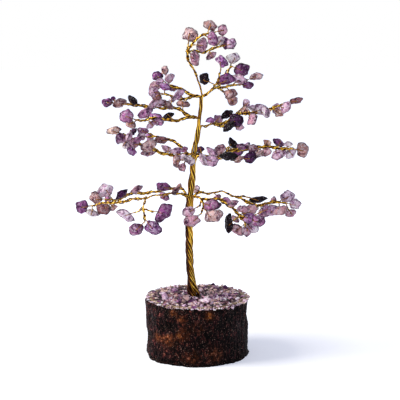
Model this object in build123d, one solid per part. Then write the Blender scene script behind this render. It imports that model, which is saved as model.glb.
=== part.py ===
from build123d import *
import math
import os

# A gemstone tree ornament: twisted brass wire, tumbled amethyst chips and a slice of log.
# The origin is the centre of the log's underside. X is across, Y goes back and Z is up.

# Overall layout. Places in the tables are as seen from the front: shares of the tree's half
# spread across and of its seen height up, in the picture plane through the aim point, and a
# share of the half spread in depth, along the line of sight
tree_reach = 90 * MM
seen_height = 245 * MM
view_distance = 1200 * MM
view_tilt = 10.6
aim_across_share = 0.02
aim_seen_share = 0.46
log_top_share = 0.1615

# Log slice
log_radius = 38 * MM
log_height = 42 * MM
log_sides = 26
bark_thickness = 3 * MM
bark_ridge = 1.1 * MM
bark_plate = 0.7 * MM
bark_levels = 5
bark_waist = 0.7 * MM
bark_lip = 1 * MM
rim_height = 1.2 * MM
socket_depth = 18 * MM
socket_clearance = 0.3 * MM
socket_sides = 12

# Glue bed and the crushed stones on it
glue_thickness = 1.5 * MM
gravel_size = 5.4 * MM
gravel_height = 3.8 * MM
gravel_count = 88
gravel_clearance = 0.3 * MM

# Twisted cords: twelve make the trunk, and each goes on as one branch
cord_width = 1.4 * MM
cord_gap = 0.06 * MM
cord_sides = 4
twist_pitch = 42 * MM
steps_per_turn = 8
aligned_step = 18
foot_flare_share = 0.18
flare_height = 20 * MM
side_width = 1.1 * MM
stub_length = 3.2 * MM
loop_wire = 0.5 * MM
loop_clearance = 0.2 * MM
loop_margin = 1.35 * MM
route_step = 1 * MM

# Drilled chips: each row of a chip table gives its size as shares of this
chip_size = 10 * MM
chip_thickness_share = 0.5
chip_flat_share = 0.3
chip_flat_margin = 0.75 * MM
chip_hole = 1.1 * MM
cut_overrun = 1 * MM

# The trunk's centre line: across and seen height
trunk_axis_shares = [
    (-0.03, 0.0), (-0.03, 0.17), (-0.05, 0.22), (-0.06, 0.25), (-0.067, 0.30), (-0.068, 0.40),
    (-0.067, 0.45), (-0.055, 0.50), (-0.038, 0.56), (-0.02, 0.60), (-0.01, 0.64), (0.0, 0.67),
    (0.01, 0.69), (0.022, 0.72), (0.027, 0.75), (0.035, 0.78),
]

# Branches, from the foot up. slot_shares is the cord's column and row in the trunk's close
# packing, and steps is how many steps of the twist it climbs before it leaves.
# Routes are across, depth and seen height. A side route starts on a point of an earlier one.
# Chips are across, depth, seen height, width, height and tilt in degrees.
branches = {
    "low_left": {
        "slot_shares": (-1.5, 0), "steps": 18,
        "main_shares": [
            (-0.12, 0.02, 0.490), (-0.18, 0.05, 0.497), (-0.25, 0.09, 0.490), (-0.33, 0.13, 0.487),
            (-0.43, 0.16, 0.480), (-0.54, 0.17, 0.480), (-0.62, 0.16, 0.465), (-0.69, 0.14, 0.460),
        ],
        "side_shares": [],
        "chip_shares": [
            (-0.15, 0.10, 0.500, 0.65, 0.45, 10), (-0.28, 0.03, 0.499, 1.0, 0.6, -10),
            (-0.50, 0.10, 0.492, 0.85, 0.55, 10),
            (-0.62, 0.10, 0.478, 1.0, 0.6, 5), (-0.735, 0.22, 0.462, 0.7, 0.55, 0),
            (-0.755, 0.12, 0.490, 1.1, 0.9, 20), (-0.83, 0.14, 0.465, 0.8, 0.9, 45),
        ],
    },
    "low_left_droop": {
        "slot_shares": (-1, -1), "steps": 18,
        "main_shares": [
            (-0.13, -0.06, 0.478), (-0.22, -0.08, 0.480), (-0.30, -0.10, 0.475),
            (-0.37, -0.12, 0.473), (-0.42, -0.13, 0.466), (-0.52, -0.12, 0.463),
            (-0.60, -0.10, 0.455), (-0.67, -0.08, 0.452), (-0.78, -0.05, 0.450), (-0.86, -0.04, 0.442),
        ],
        "side_shares": [
            [(-0.42, -0.13, 0.466), (-0.44, -0.18, 0.450), (-0.445, -0.21, 0.435),
             (-0.47, -0.22, 0.428), (-0.51, -0.23, 0.422)],
            [(-0.445, -0.21, 0.435), (-0.40, -0.22, 0.428), (-0.36, -0.22, 0.422)],
            [(-0.445, -0.21, 0.435), (-0.435, -0.20, 0.410), (-0.43, -0.19, 0.395)],
        ],
        "chip_shares": [
            (-0.18, -0.14, 0.488, 0.7, 0.5, 0), (-0.27, -0.02, 0.470, 0.9, 0.5, -5),
            (-0.77, -0.12, 0.433, 1.1, 0.7, 0), (-0.69, -0.02, 0.437, 0.6, 0.5, 0),
            (-0.86, 0.03, 0.421, 1.0, 0.5, 0), (-0.945, -0.04, 0.440, 0.8, 0.85, 0),
            (-0.59, -0.24, 0.415, 1.3, 0.6, -30), (-0.50, -0.18, 0.372, 1.0, 0.9, 20),
            (-0.28, -0.22, 0.422, 1.5, 0.8, 50), (-0.36, -0.22, 0.376, 1.2, 0.9, -20),
        ],
    },
    "low_front": {
        "slot_shares": (1, -1), "steps": 18,
        "main_shares": [
            (0.0, -0.08, 0.470), (0.04, -0.11, 0.462), (0.09, -0.12, 0.463), (0.15, -0.14, 0.463),
            (0.20, -0.15, 0.458), (0.25, -0.16, 0.445), (0.30, -0.17, 0.430), (0.34, -0.18, 0.415),
            (0.37, -0.19, 0.400), (0.39, -0.20, 0.390),
        ],
        "side_shares": [
            [(0.04, -0.11, 0.462), (0.02, -0.18, 0.447), (0.0, -0.23, 0.437)],
            [(0.04, -0.11, 0.462), (0.045, -0.19, 0.435), (0.03, -0.26, 0.418)],
            [(0.34, -0.18, 0.415), (0.37, -0.22, 0.410), (0.41, -0.24, 0.405)],
        ],
        "chip_shares": [
            (-0.07, -0.25, 0.425, 1.0, 0.65, 10), (-0.05, -0.30, 0.398, 1.3, 0.7, 5),
            (0.12, -0.21, 0.445, 1.2, 0.7, 10), (0.13, -0.26, 0.410, 1.4, 0.8, -10),
            (0.255, -0.16, 0.390, 0.6, 1.4, 0), (0.33, -0.14, 0.368, 1.1, 0.8, 0),
            (0.395, -0.25, 0.358, 0.7, 0.6, 0), (0.45, -0.17, 0.375, 0.9, 0.8, 15),
            (0.495, -0.25, 0.397, 1.0, 0.8, 0), (0.43, -0.17, 0.430, 1.1, 0.7, 15),
            (0.37, -0.27, 0.433, 0.8, 0.6, 0), (0.29, -0.25, 0.450, 0.7, 0.5, 0),
        ],
    },
    "low_right": {
        "slot_shares": (1.5, 0), "steps": 18,
        "main_shares": [
            (0.02, 0.01, 0.482), (0.08, 0.05, 0.480), (0.15, 0.09, 0.483), (0.20, 0.11, 0.487),
            (0.28, 0.13, 0.473), (0.33, 0.13, 0.468), (0.38, 0.12, 0.460), (0.44, 0.10, 0.448),
            (0.49, 0.08, 0.443), (0.55, 0.06, 0.448), (0.62, 0.05, 0.454), (0.72, 0.03, 0.450),
        ],
        "side_shares": [
            [(0.33, 0.13, 0.468), (0.38, 0.19, 0.470), (0.43, 0.22, 0.468)],
        ],
        "chip_shares": [
            (-0.01, 0.10, 0.492, 0.7, 0.6, 0), (0.53, 0.01, 0.420, 0.7, 0.6, 0),
            (0.59, 0.12, 0.428, 0.9, 0.9, 20), (0.68, -0.03, 0.428, 0.8, 0.7, 0),
            (0.76, 0.08, 0.420, 0.9, 0.6, -10), (0.73, 0.09, 0.477, 1.0, 0.8, 15),
            (0.815, 0.02, 0.447, 0.8, 0.7, 0), (0.50, 0.24, 0.465, 1.3, 0.45, 10),
        ],
    },
    "second_left": {
        "slot_shares": (0.5, 2), "steps": 24,
        "main_shares": [
            (-0.09, 0.0, 0.598), (-0.18, -0.02, 0.594), (-0.27, -0.03, 0.598), (-0.33, -0.02, 0.607),
            (-0.39, 0.0, 0.618), (-0.48, 0.02, 0.628), (-0.54, 0.03, 0.645), (-0.61, 0.04, 0.660),
        ],
        "side_shares": [
            [(-0.09, 0.0, 0.598), (-0.13, 0.07, 0.620), (-0.19, 0.11, 0.634), (-0.26, 0.14, 0.645),
             (-0.34, 0.16, 0.650)],
        ],
        "chip_shares": [
            (-0.70, 0.04, 0.668, 1.1, 0.6, 15), (-0.63, -0.04, 0.646, 1.0, 0.7, 10),
            (-0.59, 0.10, 0.628, 0.9, 0.8, 0), (-0.54, -0.06, 0.608, 0.8, 0.5, 0),
            (-0.53, 0.12, 0.664, 0.7, 0.5, 0), (-0.45, 0.18, 0.668, 0.8, 0.45, -10),
            (-0.49, -0.07, 0.640, 0.7, 0.6, 0),
            (-0.39, 0.22, 0.648, 0.7, 0.6, 10), (-0.40, -0.08, 0.622, 1.1, 0.7, 0),
            (-0.30, 0.09, 0.640, 0.95, 0.5, 0), (-0.40, 0.08, 0.602, 1.1, 0.5, -10),
            (-0.26, 0.05, 0.612, 0.7, 0.45, 0), (-0.17, -0.08, 0.608, 0.9, 0.45, 0),
        ],
    },
    "second_front": {
        "slot_shares": (-1, 1), "steps": 24,
        "main_shares": [
            (-0.045, -0.11, 0.590), (-0.07, -0.18, 0.586), (-0.10, -0.24, 0.578),
        ],
        "side_shares": [
            [(-0.045, -0.11, 0.590), (0.0, -0.17, 0.592), (0.05, -0.22, 0.590)],
        ],
        "chip_shares": [
            (-0.175, -0.24, 0.577, 0.5, 0.9, 0), (-0.125, -0.30, 0.558, 0.7, 0.55, 10),
            (-0.12, -0.15, 0.588, 0.7, 0.5, 0), (-0.035, -0.24, 0.575, 0.9, 0.5, 5),
            (0.045, -0.29, 0.582, 0.8, 0.7, 0), (0.115, -0.21, 0.576, 0.9, 0.8, 0),
        ],
    },
    "second_right": {
        "slot_shares": (0, -1), "steps": 24,
        "main_shares": [
            (0.06, 0.02, 0.594), (0.14, 0.04, 0.588), (0.20, 0.05, 0.595), (0.26, 0.05, 0.607),
            (0.35, 0.03, 0.610), (0.45, 0.01, 0.616), (0.53, 0.0, 0.620), (0.62, -0.01, 0.617),
            (0.70, -0.01, 0.614), (0.77, 0.0, 0.614),
        ],
        "side_shares": [
            [(0.14, 0.04, 0.588), (0.21, -0.03, 0.584), (0.28, -0.08, 0.583), (0.35, -0.11, 0.582)],
            [(0.14, 0.04, 0.588), (0.17, 0.11, 0.598), (0.22, 0.17, 0.612), (0.27, 0.20, 0.618)],
        ],
        "chip_shares": [
            (0.02, 0.09, 0.612, 0.55, 0.6, 0), (0.12, -0.05, 0.604, 1.0, 0.5, 5),
            (0.18, -0.03, 0.622, 0.7, 0.9, 0), (0.255, -0.15, 0.592, 1.2, 0.8, 20),
            (0.29, 0.13, 0.630, 0.8, 0.5, -30), (0.33, 0.22, 0.606, 0.8, 0.6, 0),
            (0.40, 0.09, 0.622, 0.6, 0.6, 0), (0.43, -0.11, 0.588, 0.9, 0.8, 10),
            (0.51, 0.07, 0.600, 0.8, 0.6, 0),
            (0.57, 0.05, 0.632, 0.6, 0.45, 0), (0.66, 0.06, 0.632, 0.8, 0.7, 10),
            (0.74, -0.07, 0.628, 0.6, 0.5, 0), (0.65, -0.08, 0.594, 0.9, 0.8, -30),
            (0.76, 0.08, 0.601, 0.7, 1.0, 0), (0.86, 0.0, 0.610, 0.8, 1.1, 0),
        ],
    },
    "third_left": {
        "slot_shares": (1, 1), "steps": 29,
        "main_shares": [
            (-0.045, -0.07, 0.710), (-0.10, -0.06, 0.718), (-0.15, -0.03, 0.734),
            (-0.22, 0.0, 0.736), (-0.30, 0.03, 0.736), (-0.38, 0.05, 0.740), (-0.50, 0.06, 0.745),
            (-0.60, 0.05, 0.748), (-0.67, 0.04, 0.750),
        ],
        "side_shares": [
            [(-0.045, -0.07, 0.710), (-0.11, -0.12, 0.704), (-0.19, -0.14, 0.698),
             (-0.27, -0.15, 0.701), (-0.35, -0.16, 0.705), (-0.42, -0.15, 0.701), (-0.50, -0.14, 0.700)],
        ],
        "chip_shares": [
            (-0.755, 0.04, 0.753, 0.7, 0.55, 0), (-0.64, -0.03, 0.754, 1.0, 0.6, 5),
            (-0.53, -0.01, 0.760, 0.85, 0.6, 0), (-0.36, -0.07, 0.748, 0.85, 0.7, 0),
            (-0.27, 0.09, 0.750, 0.75, 0.55, 0),
            (-0.12, 0.03, 0.748, 1.0, 0.45, -25), (-0.585, -0.14, 0.712, 0.9, 0.8, 10),
            (-0.545, -0.08, 0.688, 0.95, 0.6, 0), (-0.43, -0.23, 0.720, 1.0, 0.8, 10),
            (-0.38, -0.09, 0.686, 0.7, 0.55, 0), (-0.32, -0.22, 0.694, 1.0, 0.5, 0),
            (-0.24, -0.08, 0.712, 0.85, 0.45, 25),
        ],
    },
    "third_right": {
        "slot_shares": (-0.5, 2), "steps": 28,
        "main_shares": [
            (0.06, 0.04, 0.682), (0.13, 0.06, 0.689), (0.19, 0.06, 0.688), (0.25, 0.05, 0.696),
            (0.30, 0.03, 0.710), (0.35, 0.01, 0.720), (0.41, -0.02, 0.720), (0.49, -0.04, 0.722),
            (0.57, -0.05, 0.728), (0.64, -0.04, 0.740), (0.72, -0.03, 0.752),
        ],
        "side_shares": [
            [(0.13, 0.06, 0.689), (0.18, -0.01, 0.682), (0.23, -0.06, 0.680)],
            [(0.30, 0.03, 0.710), (0.34, 0.09, 0.728), (0.37, 0.13, 0.738)],
        ],
        "chip_shares": [
            (0.11, -0.02, 0.700, 0.65, 0.45, 0), (0.17, 0.12, 0.703, 0.7, 0.6, 0),
            (0.24, -0.03, 0.718, 1.1, 0.5, 10), (0.315, -0.08, 0.693, 0.9, 0.8, 0),
            (0.28, -0.14, 0.678, 0.9, 0.6, 0), (0.45, -0.09, 0.702, 0.9, 0.85, 0),
            (0.40, 0.17, 0.750, 0.6, 0.65, 0), (0.47, 0.04, 0.734, 1.0, 0.7, 0),
            (0.56, -0.12, 0.724, 0.8, 0.8, 0), (0.64, 0.03, 0.730, 0.75, 0.65, 0),
            (0.72, -0.10, 0.738, 0.8, 0.7, 40), (0.81, -0.03, 0.758, 0.9, 0.45, 15),
        ],
    },
    "top_left": {
        "slot_shares": (0, 1), "steps": 32,
        "main_shares": [
            (-0.03, 0.0, 0.772), (-0.08, 0.03, 0.782), (-0.14, 0.06, 0.793), (-0.19, 0.07, 0.800),
            (-0.24, 0.07, 0.804),
        ],
        "side_shares": [
            [(-0.03, 0.0, 0.772), (-0.09, -0.06, 0.764), (-0.17, -0.09, 0.764), (-0.23, -0.10, 0.773),
             (-0.27, -0.10, 0.778)],
        ],
        "chip_shares": [
            (-0.155, -0.16, 0.776, 1.1, 0.55, 0), (-0.335, -0.06, 0.772, 0.7, 0.7, 0),
            (-0.36, -0.14, 0.785, 0.7, 0.75, 0), (-0.35, 0.03, 0.803, 0.8, 0.6, 10),
            (-0.265, -0.17, 0.800, 0.7, 0.75, 0), (-0.23, 0.00, 0.826, 0.7, 0.9, 10),
            (-0.325, 0.09, 0.832, 0.7, 0.65, 0), (-0.27, 0.14, 0.848, 0.6, 0.65, 0),
            (-0.20, 0.14, 0.795, 0.8, 0.45, 0),
        ],
    },
    "top_right": {
        "slot_shares": (-0.5, 0), "steps": 32,
        "main_shares": [
            (0.085, -0.04, 0.782), (0.13, -0.05, 0.793), (0.17, -0.05, 0.798), (0.23, -0.03, 0.800),
            (0.29, -0.01, 0.803), (0.34, 0.01, 0.807), (0.40, 0.02, 0.820),
        ],
        "side_shares": [
            [(0.13, -0.05, 0.793), (0.155, -0.12, 0.812), (0.18, -0.16, 0.835), (0.19, -0.17, 0.850)],
            [(0.17, -0.05, 0.798), (0.20, 0.03, 0.820), (0.245, 0.06, 0.845), (0.275, 0.07, 0.862)],
            [(0.17, -0.05, 0.798), (0.20, 0.01, 0.786), (0.225, 0.05, 0.780)],
        ],
        "chip_shares": [
            (0.055, -0.09, 0.822, 0.7, 0.75, 0), (0.235, -0.10, 0.824, 1.2, 0.75, 5),
            (0.20, -0.18, 0.876, 0.9, 0.65, -30), (0.29, 0.08, 0.887, 0.95, 0.7, 0),
            (0.36, 0.07, 0.850, 1.0, 0.9, 30), (0.41, -0.05, 0.804, 0.95, 0.5, 0),
            (0.34, -0.06, 0.824, 1.1, 0.7, 0), (0.48, 0.02, 0.831, 0.95, 0.5, 10),
            (0.27, -0.11, 0.778, 0.9, 0.8, 0), (0.285, 0.10, 0.760, 0.8, 0.7, -50),
        ],
    },
    "crown": {
        "slot_shares": (0.5, 0), "steps": 32,
        "main_shares": [
            (0.025, 0.01, 0.795), (0.0, 0.01, 0.822), (-0.04, 0.0, 0.858), (-0.075, 0.01, 0.880),
            (-0.085, 0.01, 0.903), (-0.05, -0.03, 0.922), (-0.015, -0.05, 0.942), (0.04, -0.06, 0.954),
            (0.10, -0.05, 0.960), (0.14, -0.04, 0.964),
        ],
        "side_shares": [
            [(-0.085, 0.01, 0.903), (-0.085, 0.05, 0.915), (-0.075, 0.08, 0.930)],
            [(-0.085, 0.01, 0.903), (-0.04, 0.05, 0.908), (0.03, 0.08, 0.902), (0.09, 0.09, 0.910),
             (0.15, 0.09, 0.917), (0.19, 0.08, 0.920)],
        ],
        "chip_shares": [
            (-0.06, 0.10, 0.957, 0.95, 1.0, 0), (0.205, -0.02, 0.970, 0.7, 0.75, 0),
            (0.10, 0.01, 0.984, 0.95, 0.8, 0), (0.125, -0.11, 0.942, 0.75, 1.0, 0),
            (0.035, 0.0, 0.925, 0.75, 0.9, 0), (0.225, 0.14, 0.932, 0.7, 0.8, 0),
            (0.275, 0.06, 0.928, 0.7, 0.7, 0), (0.11, 0.16, 0.893, 0.8, 0.55, 0),
            (-0.02, -0.01, 0.885, 0.7, 1.05, 10),
        ],
    },
}

# Sizes that follow from the ones above. The aim point stands on the log, whatever its height
aim_height = log_height + (aim_seen_share - log_top_share) * seen_height / math.cos(math.radians(view_tilt))
socket_floor = log_height - socket_depth
bundle_radius = 1.7 * cord_width
cord_lean = math.atan(math.tau * bundle_radius / twist_pitch)
cord_spacing = cord_width / math.cos(cord_lean) / math.cos(math.pi / steps_per_turn) + cord_gap
outer_slot_share = math.sqrt(7 / 3)
foot_radius = outer_slot_share * cord_spacing * (1 + foot_flare_share) + cord_width / 2
socket_radius = (foot_radius + socket_clearance) / math.cos(math.pi / socket_sides)
wood_radius = log_radius - bark_thickness
golden_angle = math.pi * (3 - math.sqrt(5))


def place(across_share, depth_share, seen_share):
    # A point of the tables: where the line of sight through the picture plane meets its depth
    tilt = math.radians(view_tilt)
    aim = Vector(aim_across_share * tree_reach, 0, aim_height)
    eye = aim + Vector(0, -math.cos(tilt), math.sin(tilt)) * view_distance
    right = Vector((across_share - aim_across_share) * tree_reach, 0, 0)
    up = Vector(0, math.sin(tilt), math.cos(tilt)) * (seen_share - aim_seen_share) * seen_height
    sight = aim + right + up - eye
    return eye + sight * ((depth_share * tree_reach - eye.Y) / sight.Y)


def wobble(seed, turn):
    # A steady, uneven number between -1 and 1
    return math.sin(2.4 * seed + 1.7 * turn + 0.9 * math.sin(seed + 3.1 * turn))


def ring(radius, sides, centre=(0, 0), start=0):
    # The corners of a regular polygon
    corners = []
    for side in range(sides):
        angle = start + side * math.tau / sides
        corners.append((centre[0] + radius * math.cos(angle), centre[1] + radius * math.sin(angle)))
    return corners


def prism(corners, height, bottom=0):
    return Pos(0, 0, bottom) * extrude(make_face(Polyline(*corners, close=True)), height)


def tube(points, width):
    # A wire along straight runs with mitred corners
    start = Plane(origin=points[0], z_dir=points[1] - points[0])
    section = start * RegularPolygon(width / 2, cord_sides)
    return sweep(section, path=Polyline(*points), transition=Transition.RIGHT)


def trunk_centre(height):
    # The trunk's centre line at one height, between the two listed points around it
    line = [place(across, 0, seen) for across, seen in trunk_axis_shares]
    for low, high in zip(line, line[1:]):
        share = (height - low.Z) / (high.Z - low.Z)
        if share <= 1:
            break
    return low + (high - low) * share


def trunk_points(slot_shares, steps):
    # One cord's climb: every cord holds its slot while the whole bundle turns
    column, row = slot_shares
    slot = Vector(column, (row - 1 / 3) * math.sqrt(3) / 2, 0) * cord_spacing
    points = []
    for step in range(steps + 1):
        height = socket_floor + socket_clearance + step * twist_pitch / steps_per_turn
        above_log = (height - log_height) / flare_height
        flare = 1 + foot_flare_share * min(1, max(0, 1 - above_log))
        turn = -360 / steps_per_turn * (step - aligned_step)
        points.append(trunk_centre(height) + slot.rotate(Axis.Z, turn) * flare)
    return points


def points_along(route):
    # Points at short, even steps along a route, each with its distance from the route's start
    found = []
    travelled = 0
    for start, end in zip(route, route[1:]):
        run = end - start
        count = math.ceil(run.length / route_step)
        for index in range(count):
            found.append((travelled + run.length * index / count, start + run * (index / count)))
        travelled += run.length
    found.append((travelled, route[-1]))
    return found


def stub_start(centre, routes, reach):
    # Where a chip's stub leaves the branch: the nearest place that is a stub away from the chip,
    # and of two such places the one nearer to the trunk
    best = None
    for route in routes:
        for travelled, point in points_along(route):
            distance = (point - centre).length
            if distance >= reach and (best is None or distance + travelled / 50 < best[0]):
                best = (distance + travelled / 50, point)
    return best[1]


def chip_plane(centre, anchor, tilt, yaw):
    # The chip's own plane: its hole is square to the stub, and its long side has the tilt
    to_stem = (anchor - centre).normalized()
    facing = Vector(math.sin(yaw), -math.cos(yaw), 0)
    hole_axis = (facing - to_stem * facing.dot(to_stem)).normalized()
    long_side = Vector(math.cos(math.radians(tilt)), 0, math.sin(math.radians(tilt)))
    long_side = (long_side - hole_axis * long_side.dot(hole_axis)).normalized()
    return Plane(origin=centre, x_dir=long_side, z_dir=hole_axis)


def chip_solid(width, height, thickness, seed):
    # A tumbled chip: an uneven five-cornered outline between two small flats, drilled through
    corners = []
    for turn in range(5):
        angle = turn * math.tau / 5 + 0.2 * wobble(seed, turn)
        radius_share = 1.08 - 0.07 * wobble(seed + 5, turn)
        lift_share = 0.2 * wobble(seed + 9, turn)
        corners.append((
            width / 2 * radius_share * math.cos(angle),
            height / 2 * radius_share * math.sin(angle),
            thickness / 2 * lift_share,
        ))
    for turn in range(3):
        angle = turn * math.tau / 3 + seed
        across = (chip_flat_share * width / 2 + chip_flat_margin) * math.cos(angle)
        up = (chip_flat_share * height / 2 + chip_flat_margin) * math.sin(angle)
        corners.append((across, up, thickness / 2))
        corners.append((-across, -up, -thickness / 2))
    stone = ConvexPolyhedron(corners)
    return stone - Box(chip_hole, chip_hole, thickness + cut_overrun)


def hanger_solid(reach, rise, tail):
    # The wire through the hole: one leg in the hole and two down the chip's faces, which then
    # run on side by side as a flat tail
    side = math.hypot(reach, rise)
    inner_radius = reach * rise / (rise + side)
    inside = 1 - loop_wire / 2 / inner_radius
    outside = 1 + loop_wire / 2 / inner_radius
    hole = [(inner_radius * (1 - inside), -rise * inside), (reach * inside + inner_radius * (1 - inside), 0)]
    hole.append((hole[0][0], rise * inside))
    back = inner_radius * (1 - outside)
    tip = reach * outside + back
    join = tip - loop_wire * (tip - back) / (rise * outside)
    outline = [(back, -rise * outside), (join, -loop_wire), (reach + tail, -loop_wire)]
    outline += [(x, -y) for x, y in reversed(outline)]
    frame = make_face(Polyline(*outline, close=True)) - make_face(Polyline(*hole, close=True))
    return extrude(frame, loop_wire / 2, both=True)


def dress_chip(row, routes, seed):
    # One chip and the wire that holds it
    across, depth, seen, width_share, height_share, tilt = row
    width = width_share * chip_size
    height = height_share * chip_size
    thickness = chip_thickness_share * (width + height) / 2
    centre = place(across, depth, seen)
    anchor = stub_start(centre, routes, max(width, height) / 2 + stub_length)
    plane = chip_plane(centre, anchor, tilt, 0.9 * wobble(seed, 2))
    local = plane.to_local_coords(anchor)
    angle = math.atan2(local.Y, local.X)
    edge = 1 / math.hypot(math.cos(angle) / (width / 2), math.sin(angle) / (height / 2))
    reach = edge + loop_margin
    flat_reach = chip_flat_share * edge + chip_flat_margin
    rise = (thickness / 2 + loop_clearance + loop_wire / 2) / (1 - flat_reach / reach)
    chip = plane * chip_solid(width, height, thickness, seed)
    upright = Plane(origin=(0, 0, 0), x_dir=(math.cos(angle), math.sin(angle), 0),
                    z_dir=(math.sin(angle), -math.cos(angle), 0))
    hanger = plane * (upright * hanger_solid(reach, rise, (anchor - centre).length - reach))
    return chip, hanger


def branch_solids(branch, seed):
    # A branch's cord, in one piece from the foot of the trunk to its tips, then its chips, and
    # the hangers that hold them, each trimmed to sit on the cord and on the hangers beside it
    climb = trunk_points(branch["slot_shares"], branch["steps"])
    main = [place(*row) for row in branch["main_shares"]]
    sides = [[place(*row) for row in side] for side in branch["side_shares"]]
    routes = [[climb[-1]] + main] + sides
    cord = tube(climb + main, cord_width)
    if sides:
        cord += [tube(side, side_width) for side in sides]
    chips = []
    hangers = []
    for index, row in enumerate(branch["chip_shares"]):
        chip, hanger = dress_chip(row, routes, seed + index)
        chips.append(chip)
        hangers.append((hanger - ([cord] + hangers)).solids().sort_by(SortBy.VOLUME)[-1])
    return cord, chips, hangers


def bark_outline(height, grow, level):
    # The bark's uneven outside at one height: broad swells, with plates that differ at each level
    corners = []
    for side in range(log_sides):
        angle = side * math.tau / log_sides
        swell = 0.45 * math.sin(3 * angle + 0.6) + 0.25 * math.sin(5 * angle + 1 + height / log_height)
        radius = log_radius + grow + bark_ridge * swell + bark_plate * wobble(7 * level, side)
        corners.append((radius * math.cos(angle), radius * math.sin(angle)))
    return corners


def log_bark():
    # Stacked outlines: a lip at the foot, a slight waist and a full rim
    top = log_height + rim_height
    sections = []
    for level in range(bark_levels + 1):
        height = 0
        if level:
            height = 2 * bark_lip + (top - 2 * bark_lip) * (level - 1) / (bark_levels - 1)
        lip = bark_lip * max(0, 1 - height / (2 * bark_lip))
        grow = lip - bark_waist * math.sin(math.pi * height / top)
        outline = bark_outline(height, grow, level)
        sections.append(Pos(0, 0, height) * make_face(Polyline(*outline, close=True)))
    outside = loft(sections, ruled=True)
    return outside - prism(ring(wood_radius, log_sides), top + cut_overrun)


def log_wood():
    # The wood under the bark, with the blind hole that the trunk stands in
    core = prism(ring(wood_radius, log_sides), log_height)
    foot = trunk_centre(log_height)
    socket = ring(socket_radius, socket_sides, (foot.X, foot.Y))
    return core - prism(socket, socket_depth + cut_overrun, socket_floor)


def glue_bed():
    # The clear glue poured on the log's top, round the trunk
    bed = prism(ring(wood_radius, log_sides), glue_thickness, log_height)
    foot = trunk_centre(log_height)
    hole = ring(socket_radius, socket_sides, (foot.X, foot.Y))
    return bed - prism(hole, glue_thickness + cut_overrun, log_height)


def gravel_stone(centre, seed):
    # A crushed stone with a flat under it
    corners = []
    for turn in range(3):
        angle = turn * math.tau / 3 + seed
        low_radius = gravel_size / 2 * (0.9 + 0.1 * wobble(seed, turn))
        corners.append(Vector(low_radius * math.cos(angle), low_radius * math.sin(angle), 0))
        high_radius = gravel_size / 2 * (0.62 + 0.2 * wobble(seed + 4, turn))
        top = gravel_height * (0.8 + 0.2 * wobble(seed + 7, turn))
        angle += math.pi / 3
        corners.append(Vector(high_radius * math.cos(angle), high_radius * math.sin(angle), top))
    return Pos(*centre) * ConvexPolyhedron(corners, align=Align.NONE)


def gravel():
    # Stones in a sunflower spread over the glue bed, leaving the trunk's foot free
    foot = trunk_centre(log_height)
    spread = wood_radius - gravel_size / 2 - gravel_clearance
    stones = []
    for index in range(gravel_count):
        radius = spread * math.sqrt((index + 0.5) / gravel_count)
        angle = index * golden_angle
        centre = Vector(radius * math.cos(angle), radius * math.sin(angle), log_height + glue_thickness)
        from_trunk = math.hypot(centre.X - foot.X, centre.Y - foot.Y)
        if from_trunk > foot_radius + gravel_size / 2 + gravel_clearance:
            stones.append(gravel_stone(centre, index))
    return stones


def write_node(name, solids):
    # One file for each named piece or set of like pieces
    node = Compound(label=name, children=[solid for part in solids for solid in part.solids()])
    export_step(node, os.path.join("parts", name + ".step"))
    print(name, len(node.solids()), "solids", round(node.volume, 1), "mm3")


os.makedirs("parts", exist_ok=True)
write_node("log_wood", [log_wood()])
write_node("log_bark", [log_bark()])
write_node("glue_bed", [glue_bed()])
write_node("gravel", gravel())
for number, (name, branch) in enumerate(branches.items()):
    cord, chips, hangers = branch_solids(branch, 20 * number)
    write_node(name + "_cord", [cord])
    write_node(name + "_chips", chips)
    write_node(name + "_hangers", hangers)
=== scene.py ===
import itertools
import random
import bpy
import bmesh
from math import asin, atan2, ceil, cos, exp, floor, hypot, pi, radians, sin, sqrt, tau
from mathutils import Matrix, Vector, noise


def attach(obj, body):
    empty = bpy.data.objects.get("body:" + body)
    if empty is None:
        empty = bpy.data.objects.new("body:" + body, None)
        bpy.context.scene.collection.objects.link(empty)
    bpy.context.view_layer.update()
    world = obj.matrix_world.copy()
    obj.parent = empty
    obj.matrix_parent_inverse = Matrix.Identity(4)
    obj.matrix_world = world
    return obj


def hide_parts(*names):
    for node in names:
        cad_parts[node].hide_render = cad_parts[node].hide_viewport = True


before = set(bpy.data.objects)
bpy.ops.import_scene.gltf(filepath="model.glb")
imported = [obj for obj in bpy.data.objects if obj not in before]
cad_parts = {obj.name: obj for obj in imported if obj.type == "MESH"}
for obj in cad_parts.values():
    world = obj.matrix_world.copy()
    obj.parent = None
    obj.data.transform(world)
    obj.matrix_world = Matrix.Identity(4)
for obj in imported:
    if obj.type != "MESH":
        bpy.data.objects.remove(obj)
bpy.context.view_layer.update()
scene = bpy.context.scene
scene.view_settings.view_transform = "Standard"
noise.seed_set(12)

# Places in the tables are as seen from the front: across, depth and seen height, all as shares
layout = {
    "reach": 0.09, "seenHeight": 0.245, "eyeDistance": 1.2, "tilt": radians(10.6),
    "aimHeight": 0.1164, "aimAcross": 0.02, "aimSeen": 0.46,
}
aimPoint = Vector((layout["aimAcross"] * layout["reach"], 0, layout["aimHeight"]))
eyePoint = aimPoint + layout["eyeDistance"] * Vector((0, -cos(layout["tilt"]), sin(layout["tilt"])))
seenUp = Vector((0, sin(layout["tilt"]), cos(layout["tilt"])))


def place(across, depth, seen):
    right = Vector(((across - layout["aimAcross"]) * layout["reach"], 0, 0))
    sight = aimPoint + right + (seen - layout["aimSeen"]) * layout["seenHeight"] * seenUp - eyePoint
    return eyePoint + sight * ((depth * layout["reach"] - eyePoint.y) / sight.y)


def wobble(seed, turn):  # a steady, uneven number between -1 and 1
    return sin(2.4 * seed + 1.7 * turn + 0.9 * sin(seed + 3.1 * turn))


def ringPoint(radius, angle, height=0):
    return Vector((radius * cos(angle), radius * sin(angle), height))


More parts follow.
